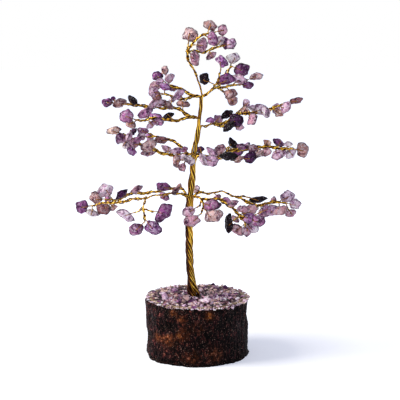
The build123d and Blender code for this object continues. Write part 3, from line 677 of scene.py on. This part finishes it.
branches["low_right"] = {
    "slot": (1.5, 0), "steps": 18,
    "main": [(2, 1, 482), (8, 5, 480), (15, 9, 483), (20, 11, 487), (28, 13, 473), (33, 13, 468),
        (38, 12, 460), (44, 10, 448), (49, 8, 443), (55, 6, 448), (62, 5, 454), (72, 3, 450)],
    "sides": [
        [(33, 13, 468), (38, 19, 470), (43, 22, 468)],
    ],
    "chips": [(-1, 10, 492, 70, 60, 0, "paleLilac"), (53, 1, 420, 85, 70, 0, "pinkLilac"),
        (59, 12, 428, 110, 95, 20, "lilac"), (68, -3, 428, 100, 80, 0, "pinkMauve"),
        (76, 8, 420, 90, 60, -10, "mauve"), (73, 9, 470, 105, 80, 15, "paleLilac"),
        (80, 2, 447, 80, 70, 0, "paleLilac"), (49, 24, 461, 140, 42, 0, "black")],
    "small": [(16.5, 2, 470, 50, 35, 0, "mauve"), (62, 10, 458, 60, 45, 15, "mauve")],
}
branches["second_left"] = {
    "slot": (0.5, 2), "steps": 24,
    "main": [(-9, 0, 598), (-18, -2, 594), (-27, -3, 598), (-33, -2, 607), (-39, 0, 618), (-48, 2, 628),
        (-54, 3, 645), (-61, 4, 660)],
    "sides": [
        [(-9, 0, 598), (-13, 7, 620), (-19, 11, 634), (-26, 14, 645), (-34, 16, 650)],
    ],
    "chips": [(-68.5, 4, 668, 100, 50, 10, "greyBeige"), (-63, -4, 646, 100, 70, 10, "purple"),
        (-59, 10, 628, 90, 80, 0, "clear"), (-54, -6, 608, 90, 60, 0, "violet"),
        (-53, 12, 664, 70, 50, 0, "inkViolet"), (-45, 18, 668, 80, 45, -10, "purple"),
        (-49, -7, 640, 70, 60, 0, "purple"), (-39, 22, 648, 70, 60, 10, "violet"),
        (-40, -8, 624, 120, 80, 0, "greyMauve"), (-30, 9, 640, 95, 50, 0, "darkMauve"),
        (-40, 8, 602, 110, 50, -10, "mauve"), (-25, 5, 613, 90, 50, 0, "pinkLilac"),
        (-17, -8, 608, 90, 45, 0, "lilac")],
    "small": [(-46, 15, 650, 60, 50, 0, "paleLilac"), (-11, -2, 612, 50, 40, 20, "purple"),
        (-52, 0, 630, 80, 70, 0, "mauve"), (-56, -8, 650, 70, 60, 10, "lilac")],
}
branches["second_front"] = {
    "slot": (-1, 1), "steps": 24,
    "main": [(-4.5, -11, 590), (-7, -18, 586), (-10, -24, 578)],
    "sides": [
        [(-4.5, -11, 590), (0, -17, 592), (5, -22, 590)],
    ],
    "chips": [(-17.5, -24, 577, 50, 90, 0, "brownMauve"), (-12.5, -30, 558, 70, 55, 10, "pinkMauve"),
        (-12, -15, 588, 70, 50, 0, "paleLilac"), (-6.5, -24, 579, 125, 50, 3, "clear"),
        (4.5, -29, 582, 90, 75, 0, "paleLilac"), (11.5, -21, 578, 90, 80, 0, "lilac")],
}
branches["second_right"] = {
    "slot": (0, -1), "steps": 24,
    "main": [(6, 2, 594), (14, 4, 588), (20, 5, 595), (26, 5, 607), (35, 3, 610), (45, 1, 616), (53, 0, 620),
        (62, -1, 617), (70, -1, 614), (77, 0, 614)],
    "sides": [
        [(14, 4, 588), (21, -3, 584), (28, -8, 583), (35, -11, 582)],
        [(14, 4, 588), (17, 11, 598), (22, 17, 612), (27, 20, 618)],
    ],
    "chips": [(2, 9, 612, 55, 60, 0, "inkViolet"), (12, -5, 604, 100, 50, 5, "lilac"),
        (18, -3, 611, 85, 90, 0, "pinkMauve"), (25.5, -15, 592, 120, 80, 20, "black"),
        (29, 13, 628, 100, 50, -30, "black"), (33, 22, 606, 80, 60, 0, "deepPurple"),
        (40, 9, 622, 60, 60, 0, "lilac"), (43, -11, 588, 90, 80, 10, "inkViolet"),
        (51, 7, 600, 80, 60, 0, "mauve"), (57, 5, 632, 60, 45, 0, "peach"),
        (66, 6, 632, 80, 70, 10, "deepPurple"), (74, -7, 628, 60, 50, 0, "clear"),
        (65, -8, 594, 90, 80, -30, "pinkLilac"), (76, 8, 601, 80, 115, 0, "paleLilac"),
        (86, 0, 610, 80, 110, 0, "brownMauve")],
    "small": [(56, -6, 604, 70, 70, 10, "pinkMauve"), (36, -2, 620, 70, 60, 0, "purple"),
        (45, -5, 613, 90, 60, 0, "mauve"), (34, -17, 582, 70, 50, 0, "brownMauve"),
        (50, -10, 598, 70, 60, 0, "greyMauve"), (69, 3, 600, 70, 60, 0, "lilac")],
}
branches["third_left"] = {
    "slot": (1, 1), "steps": 29,
    "main": [(-4.5, -7, 710), (-10, -6, 718), (-15, -3, 734), (-22, 0, 736), (-30, 3, 736), (-38, 5, 740),
        (-50, 6, 745), (-60, 5, 748), (-67, 4, 750)],
    "sides": [
        [(-4.5, -7, 710), (-11, -12, 704), (-19, -14, 698), (-27, -15, 701), (-35, -16, 705), (-42, -15, 701),
        (-50, -14, 700)],
    ],
    "chips": [(-74, 4, 753, 75, 60, 0, "deepPurple"), (-64, -3, 751, 120, 60, -5, "brownMauve"),
        (-53, -1, 760, 85, 60, 0, "black"), (-36, -7, 748, 85, 70, 0, "pinkLilac"),
        (-27, 9, 750, 75, 55, 0, "paleLilac"), (-12, 3, 748, 100, 45, -25, "brownMauve"),
        (-58.5, -14, 712, 90, 80, 10, "purple"), (-54.5, -8, 688, 95, 60, 0, "brownMauve"),
        (-43, -23, 720, 110, 80, 10, "purple"), (-38, -9, 686, 70, 55, 0, "lilac"),
        (-32, -22, 694, 100, 50, 0, "purple"), (-24, -8, 712, 85, 45, 25, "black")],
    "small": [(-20, 12, 763, 60, 45, -20, "paleLilac"), (-34, -10, 708, 100, 55, -15, "violet"),
        (-69, 0, 764, 35, 35, 0, "inkViolet"), (-31.5, 0, 751, 90, 55, 0, "pinkLilac"),
        (-23.5, -4, 745, 80, 50, -15, "brownMauve")],
}
branches["third_right"] = {
    "slot": (-0.5, 2), "steps": 28,
    "main": [(6, 4, 682), (13, 6, 689), (19, 6, 688), (25, 5, 696), (30, 3, 710), (35, 1, 720), (41, -2, 720),
        (49, -4, 722), (57, -5, 728), (64, -4, 740), (72, -3, 752)],
    "sides": [
        [(13, 6, 689), (18, -1, 682), (23, -6, 680)], [(30, 3, 710), (34, 9, 728), (37, 13, 738)],
    ],
    "chips": [(11, -2, 700, 65, 45, 0, "violet"), (17, 12, 703, 70, 60, 0, "lilac"),
        (24, -3, 718, 110, 50, 10, "black"), (31.5, -8, 697, 100, 90, 0, "inkViolet"),
        (25.5, -14, 680, 95, 65, 0, "black"), (45, -9, 702, 90, 85, 0, "mauve"),
        (40, 17, 750, 60, 65, 0, "pinkLilac"), (47, 4, 734, 100, 70, 0, "paleLilac"),
        (56, -12, 724, 80, 80, 0, "paleLilac"), (64, 3, 735, 90, 70, 0, "pinkLilac"),
        (72, -10, 738, 90, 70, 40, "pinkLilac"), (81, -3, 758, 90, 45, 15, "darkMauve")],
    "small": [(34, -8, 680, 60, 45, 0, "mauve"), (67, -6, 720, 60, 50, 20, "peach"),
        (51.5, -4, 731, 95, 70, -10, "paleLilac"), (39, 0, 728, 60, 65, 0, "peach")],
}
branches["top_left"] = {
    "slot": (0, 1), "steps": 32,
    "main": [(-3, 0, 772), (-8, 3, 782), (-14, 6, 793), (-19, 7, 800), (-24, 7, 804)],
    "sides": [
        [(-3, 0, 772), (-9, -6, 764), (-17, -9, 764), (-23, -10, 773), (-27, -10, 778)],
    ],
    "chips": [(-15.5, -16, 776, 110, 55, 0, "lilac"), (-33.5, -6, 772, 70, 70, 0, "darkMauve"),
        (-36, -14, 785, 70, 75, 0, "pinkLilac"), (-35, 3, 803, 80, 60, 10, "pinkMauve"),
        (-26.5, -17, 800, 70, 75, 0, "violet"), (-23, 0, 826, 70, 90, 10, "pinkLilac"),
        (-32.5, 9, 832, 70, 65, 0, "deepPurple"), (-27, 14, 848, 60, 65, 0, "greyMauve"),
        (-20, 14, 795, 80, 45, 0, "deepPurple")],
    "small": [(-31, 2, 815, 60, 50, 0, "lilac")],
}
branches["top_right"] = {
    "slot": (-0.5, 0), "steps": 32,
    "main": [(8.5, -4, 782), (13, -5, 793), (17, -5, 798), (23, -3, 800), (29, -1, 803), (34, 1, 807),
        (40, 2, 820)],
    "sides": [
        [(13, -5, 793), (15.5, -12, 812), (18, -16, 835), (19, -17, 850)],
        [(17, -5, 798), (20, 3, 820), (24.5, 6, 845), (27.5, 7, 862)],
        [(17, -5, 798), (20, 1, 786), (22.5, 5, 780)],
    ],
    "chips": [(5.5, -9, 822, 70, 75, 0, "black"), (23.5, -10, 824, 120, 75, 5, "deepPurple"),
        (20, -18, 876, 90, 65, -30, "violet"), (29, 8, 887, 95, 70, 0, "clear"),
        (36, 7, 850, 100, 90, 30, "deepPurple"), (41, -5, 804, 95, 50, 0, "deepPurple"),
        (34, -6, 824, 110, 70, 0, "pinkLilac"), (48, 2, 831, 95, 50, 10, "greyMauve"),
        (27, -11, 778, 90, 80, 0, "brownMauve"), (28.5, 10, 760, 80, 70, -50, "brownMauve")],
}
branches["crown"] = {
    "slot": (0.5, 0), "steps": 32,
    "main": [(2.5, 1, 795), (0, 1, 822), (-4, 0, 858), (-7.5, 1, 880), (-8.5, 1, 903), (-5, -3, 922),
        (-1.5, -5, 942), (4, -6, 954), (10, -5, 960), (14, -4, 964)],
    "sides": [
        [(-8.5, 1, 903), (-8.5, 5, 915), (-7.5, 8, 930)],
        [(-8.5, 1, 903), (-4, 5, 908), (3, 8, 902), (9, 9, 910), (15, 9, 917), (19, 8, 920)],
    ],
    "chips": [(-6, 10, 957, 95, 100, 0, "greyMauve"), (20.5, -2, 970, 70, 75, 0, "mauve"),
        (10, 1, 984, 95, 80, 0, "brownMauve"), (12.5, -11, 942, 75, 100, 0, "purple"),
        (3.5, 0, 925, 75, 90, 0, "mauve"), (22.5, 14, 932, 70, 80, 0, "deepPurple"),
        (27.5, 6, 928, 70, 70, 0, "lilac"), (11, 16, 893, 80, 55, 0, "mauve"),
        (-2, -1, 885, 70, 105, 10, "mauve")],
    "small": [(18.5, 10, 940, 60, 60, 0, "clear")],
}


def rowPlace(across, depth, seen):
    return place(across / 100, depth / 100, seen / 1000)


chip = {
    "size": 0.01, "thicknessShare": 0.5, "flatShare": 0.3, "flatMargin": 0.00075, "holeRadius": 0.00052,
    "around": 36, "down": 26, "sharpness": 9, "fullness": 1.34, "unevenness": 0.2, "stub": 0.0032,
    "margin": 0.0005, "wireOff": 0.00024, "rimShade": 0.72, "rimWidth": 0.24, "holeShade": 0.4, "yaw": 0.45,
}


def stubStart(centre, routes, reach):  # where a chip's wire leaves the branch
    rows = [((spot - centre).length, travelled, spot) for route in routes
            for travelled, spot in zip(distancesAlong(route), route)]
    return min((row for row in rows if row[0] >= reach), key=lambda row: row[0] + row[1] / 50)[2]


def chipAxes(centre, anchor, tilt, yaw):
    toStem = (anchor - centre).normalized()
    facing = Vector((sin(yaw), -cos(yaw), 0))
    holeAxis = (facing - toStem * facing.dot(toStem)).normalized()
    longSide = Vector((cos(radians(tilt)), 0, sin(radians(tilt))))
    longSide = (longSide - holeAxis * longSide.dot(holeAxis)).normalized()
    return longSide, holeAxis.cross(longSide), holeAxis, toStem


def inAxes(centre, axes, spot):
    return centre + axes[0] * spot.x + axes[1] * spot.y + axes[2] * spot.z


def chipCorners(width, height, thickness, seed):
    corners = []
    for turn in range(5):
        angle = turn * tau / 5 + 0.2 * wobble(seed, turn)
        radius = 1.08 - 0.07 * wobble(seed + 5, turn)
        corners.append(Vector((width / 2 * radius * cos(angle), height / 2 * radius * sin(angle),
                               thickness / 2 * 0.2 * wobble(seed + 9, turn))))
    for turn in range(3):
        angle = turn * tau / 3 + seed
        across = (chip["flatShare"] * width / 2 + chip["flatMargin"]) * cos(angle)
        up = (chip["flatShare"] * height / 2 + chip["flatMargin"]) * sin(angle)
        corners += [Vector((across, up, thickness / 2)), Vector((-across, -up, -thickness / 2))]
    return corners


def hullPlanes(corners):  # each flat of the stone, as its direction and how far out it lies
    planes = []
    for first, second, third in itertools.combinations(corners, 3):
        normal = (second - first).cross(third - first)
        if normal.length < 1e-12:
            continue
        normal.normalize()
        far = normal.dot(first)
        if far < 0:
            normal, far = -normal, -far
        if all(normal.dot(corner) <= far + 1e-8 for corner in corners):
            planes.append((normal, far))
    return planes


def stoneReach(planes, direction, seed):
    # How far the tumbled surface lies that way: the nearest flat, with the edges worn round
    power = chip["sharpness"]
    worn = sum(max(0.0, normal.dot(direction) / far) ** power for normal, far in planes) ** (-1 / power)
    lumps = noise.noise(direction * 1.7 + Vector((seed * 3.7, 0, 0)))
    lumps += 0.45 * noise.noise(direction * 4.2 + Vector((0, seed * 2.3, 0)))
    return worn * chip["fullness"] * (1 + chip["unevenness"] * lumps)


def addChip(heap, planes, centre, axes, seed, tone):
    # A stone drilled through: its skin runs from the hole's upper rim out and down to the lower rim,
    # and back up the hole
    start = len(heap["points"])
    for angle in fullTurn(chip["around"]):
        leans = []
        for end in (1, -1):
            lean = 0.25
            for _ in range(4):
                way = ringPoint(sin(lean), angle, end * cos(lean))
                lean = asin(min(0.9, chip["holeRadius"] / stoneReach(planes, way, seed)))
            leans.append(lean)
        spots = []
        for step in range(chip["down"] + 1):
            polar = leans[0] + (pi - leans[1] - leans[0]) * step / chip["down"]
            way = ringPoint(sin(polar), angle, cos(polar))
            spots.append(way * stoneReach(planes, way, seed))
            shade = 1 - chip["rimShade"] * exp(-((polar - pi / 2) / chip["rimWidth"]) ** 2)
            heap["tones"].append(tuple(part * shade for part in tone))
        spots += [spots[-1].lerp(spots[0], share) for share in (1 / 3, 2 / 3)]
        heap["tones"] += [tuple(part * chip["holeShade"] for part in tone)] * 2
        heap["points"] += [inAxes(centre, axes, spot) for spot in spots]
    addSkin(heap, start, chip["around"], True)


def addHanger(heap, planes, centre, anchor, axes, seed, edge, run):
    # One wire: twisted with itself from the branch to the chip, then over one face, through the
    # hole and back over the other face
    holeAxis, toStem = axes[2:]
    local = Vector((toStem.dot(axes[0]), toStem.dot(axes[1]), 0))
    length = (anchor - centre).length
    join = min(edge * chip["fullness"] + chip["margin"], length - wire["shortPair"])
    turns = max(1.5, round((length - join) / wire["pairLay"] * 2) / 2)
    samples = max(6, int(turns * 8))
    sidewise = toStem.cross(holeAxis)
    legs, twist = [], []
    for side in (1, -1):
        leg = []
        for polar in (1.3, 1.0, 0.75, 0.5, 0.3):
            way = local * sin(polar) + Vector((0, 0, side * cos(polar)))
            reach = stoneReach(planes, way, seed) + chip["wireOff"] + wire["pairRadius"] * 0.5
            leg.append(inAxes(centre, axes, way * reach))
        legs.append(leg)
        line = []
        for index in range(samples + 1):
            share = index / samples
            angle = -turns * tau * (1 - share)
            offset = holeAxis * cos(angle) + sidewise * sin(angle)
            along = centre + toStem * (length + (join - length) * share)
            line.append(along + offset * side * wire["pairRadius"] * 1.05)
        twist.append(line)
    thickness = (legs[0][-1] - legs[1][-1]).length / 2
    through = [centre + holeAxis * thickness * share for share in (0.75, 0.3, -0.3, -0.75)]
    whole = twist[0] + legs[0] + through + legs[1][::-1] + twist[1][::-1]
    bent = smoothRun(whole, wire["pairGap"])
    half = len(bent) // 2
    # painted light and shade: one leg of the loop is lit, the other shaded
    shines = [wire["legShine"]] * half + [wire["shadedLeg"]] * (len(bent) - half)
    for index, spot in enumerate(bent):  # the wire is darker where it lies on the stone
        if (spot - centre).length < join:
            shines[index] = min(shines[index], wire["onStone"])
    addWire(heap, bent, wire["pairRadius"], None, shines)
    # the wire's two ends run on along the branch, twisted together and winding loosely round it
    nearest = min(range(len(run)), key=lambda index: (run[index] - anchor).length)
    stretch = run[max(0, nearest - int(wire["tailRun"] / wire["gap"])):nearest + 1][::-1]
    if len(stretch) > 5:
        middle = []
        for index, (spot, (across, up)) in enumerate(zip(stretch, carriedAxes(stretch))):
            angle = tau * index * wire["gap"] / wire["tailLay"] + seed * 1.9
            out = wire["tailOut"] * (1 + 0.35 * wobble(seed, 5)) * min(1, (index + 1) / 4)
            middle.append(spot + (across * cos(angle) + up * sin(angle)) * out)
        windStrands(heap, smoothRun(middle, wire["tailGap"]), wire["pairRadius"], seed + 2,
                    lambda share, far: 2, lambda far: wire["pairLay"], lambda *_: wire["branchShine"])


def dressBranch(name, branch, seed):
    climb = climbRun(branch["slot"], branch["steps"])
    routes = [smoothRun([climb[-1]] + [rowPlace(*row) for row in branch["main"]], wire["gap"], climb[-4])]
    routes += [smoothRun([rowPlace(*row) for row in side], wire["gap"]) for side in branch["sides"]]
    routes = [crimped(route, seed + 2 + index if index else seed) for index, route in enumerate(routes)]
    climbLength = distancesAlong(climb)[-1]
    branchLength = distancesAlong(routes[0])[-1]

    def strandsOnCord(share, travelled):
        out = max(0.0, (travelled - climbLength) / branchLength)
        return ceil(wire["strands"] - (wire["strands"] - 2) * out ** 0.6)

    def layOnCord(travelled):
        return wire["trunkLay"] if travelled < climbLength else wire["branchLay"]

    def cordShade(index, spot, outwards):  # painted shade between the stem's cords and on its left; darker at its foot
        own = 1.0 + 0.12 * wobble(seed, 3)
        if index >= len(climb):
            return own * wire["branchShine"]
        away = spot - trunkCentre(spot.z)
        away.z = 0
        groove = wire["groove"] * (0.5 - 0.5 * outwards.dot(away.normalized()))
        leftward = min(1, max(0, 0.3 - 1.3 * (away + outwards * wire["radius"] * 2).normalized().x))
        low = min(1, max(wire["leftShadeHigh"], (wire["leftShadeTop"] - spot.z) / wire["leftShadeFade"]))
        foot = max(0.0, 1 - (spot.z - log["height"]) / wire["footRise"])
        return (own * wire["stemShine"] * (1 - groove) * (1 - wire["paintedLeftShade"] * leftward * low)
                * (1 - wire["footDarkening"] * foot))

    cordHeap, chipHeap, hangerHeap = newHeap(), newHeap(), newHeap()
    windStrands(cordHeap, climb[:-1] + routes[0], wire["radius"], seed, strandsOnCord, layOnCord, cordShade)
    for run in routes[1:]:
        windStrands(cordHeap, run, wire["radius"] * wire["sideShare"], seed + 1,
                    lambda share, far: 3 if share < 0.4 else 2, lambda far: wire["sideLay"], lambda *_: 1.0)
    for index, (*row, wide, high, tilt, tone) in enumerate(branch["chips"] + branch.get("small", [])):
        width, height = wide / 100 * chip["size"], high / 100 * chip["size"]
        centre = rowPlace(*row)
        anchor = stubStart(centre, routes, max(width, height) / 2 + chip["stub"])
        axes = chipAxes(centre, anchor, tilt, chip["yaw"] * wobble(seed + index, 2))
        thickness = chip["thicknessShare"] * (width + height) / 2
        planes = hullPlanes(chipCorners(width, height, thickness, seed + index))
        angle = atan2(axes[3].dot(axes[1]), axes[3].dot(axes[0]))
        edge = 1 / hypot(cos(angle) / (width / 2), sin(angle) / (height / 2))
        addChip(chipHeap, planes, centre, axes, seed + index, stoneTones[tone])
        carrier = min(routes, key=lambda route: min((spot - anchor).length for spot in route))
        addHanger(hangerHeap, planes, centre, anchor, axes, seed + index, edge, carrier)
    finishPiece(cordHeap, name + "_wires", brass, [name + "_cord"])
    finishPiece(chipHeap, name + "_stones", tumbled, [name + "_chips"])
    finishPiece(hangerHeap, name + "_loops", brass, [name + "_hangers"])


for number, (branchName, branchTable) in enumerate(branches.items()):
    dressBranch(branchName, branchTable, 20 * number)
print("stage: tree ready")

# The stage: a white floor that keeps the shadow, one soft lamp with a weak fill, and a plain sky
studio = {
    "floorSize": 4.0, "floorColour": (0.86, 0.86, 0.86), "glowColour": (0.82, 0.86, 1.0),
    "glowSpan": (0.1, 0.3), "glowLevels": (0.37, 0.78),  # the floor glows more from near to far
    "skyLevel": 0.5, "skyColour": (0.78, 0.82, 1.0),
    "lamps": {  # place, size, power and colour
        "keyLamp": ((-0.66, -0.14, 0.6), 0.42, 7.6, (1.0, 0.96, 0.86)),
        "fillLamp": ((0.45, -0.95, 0.55), 0.6, 2.6, (0.94, 0.96, 1.0)),
    },
}


def sightRays(tree):  # 1 for a ray from the camera, or one that metal or stone sends on
    rays = addNode(tree, "LightPath").outputs
    most = addNode(tree, "Math", {0: rays["Is Camera Ray"], 1: rays["Is Glossy Ray"]}, operation="MAXIMUM")
    return addNode(tree, "Math", {0: most.outputs[0], 1: rays["Is Transmission Ray"]},
                   operation="MAXIMUM").outputs[0]


def makeFloor():
    half = studio["floorSize"] / 2
    mesh = bpy.data.meshes.new("floor")
    corners = [(-half, -half, 0), (half, -half, 0), (half, half, 0), (-half, half, 0)]
    mesh.from_pydata(corners, [], [(0, 1, 2, 3)])
    material, tree, shader = startMaterial("paleCard", Roughness=0.9, Specular_IOR_Level=0.1)
    shader.inputs["Base Color"].default_value = (*studio["floorColour"], 1)
    shader.inputs["Emission Color"].default_value = (*studio["glowColour"], 1)
    far = addNode(tree, "VectorMath", {0: objectSpot(tree)}, operation="LENGTH")
    level = mapRange(tree, far.outputs["Value"], studio["glowSpan"], studio["glowLevels"])
    glow = addNode(tree, "Math", {0: sightRays(tree), 1: level}, operation="MULTIPLY")
    tree.links.new(glow.outputs[0], shader.inputs["Emission Strength"])
    mesh.materials.append(material)
    floor = addObject("floor", mesh)


def makeSky():
    world = bpy.data.worlds.new("plainSky")
    scene.world = world
    world.use_nodes = True
    tree = world.node_tree
    sky = tree.nodes["Background"]
    tree.links.new(mixColours(tree, sightRays(tree), studio["skyColour"], (1, 1, 1)), sky.inputs["Color"])
    level = mapRange(tree, sightRays(tree), (0.0, 1.0), (studio["skyLevel"], 1.0))
    tree.links.new(level, sky.inputs["Strength"])


makeFloor()
makeSky()
for lampName, (spot, size, power, colour) in studio["lamps"].items():
    lampData = bpy.data.lights.new(lampName, "AREA")
    lampData.size = size
    lampData.energy = power
    lampData.color = colour
    addObject(lampName, lampData, spot)
print("stage: floor and light ready")
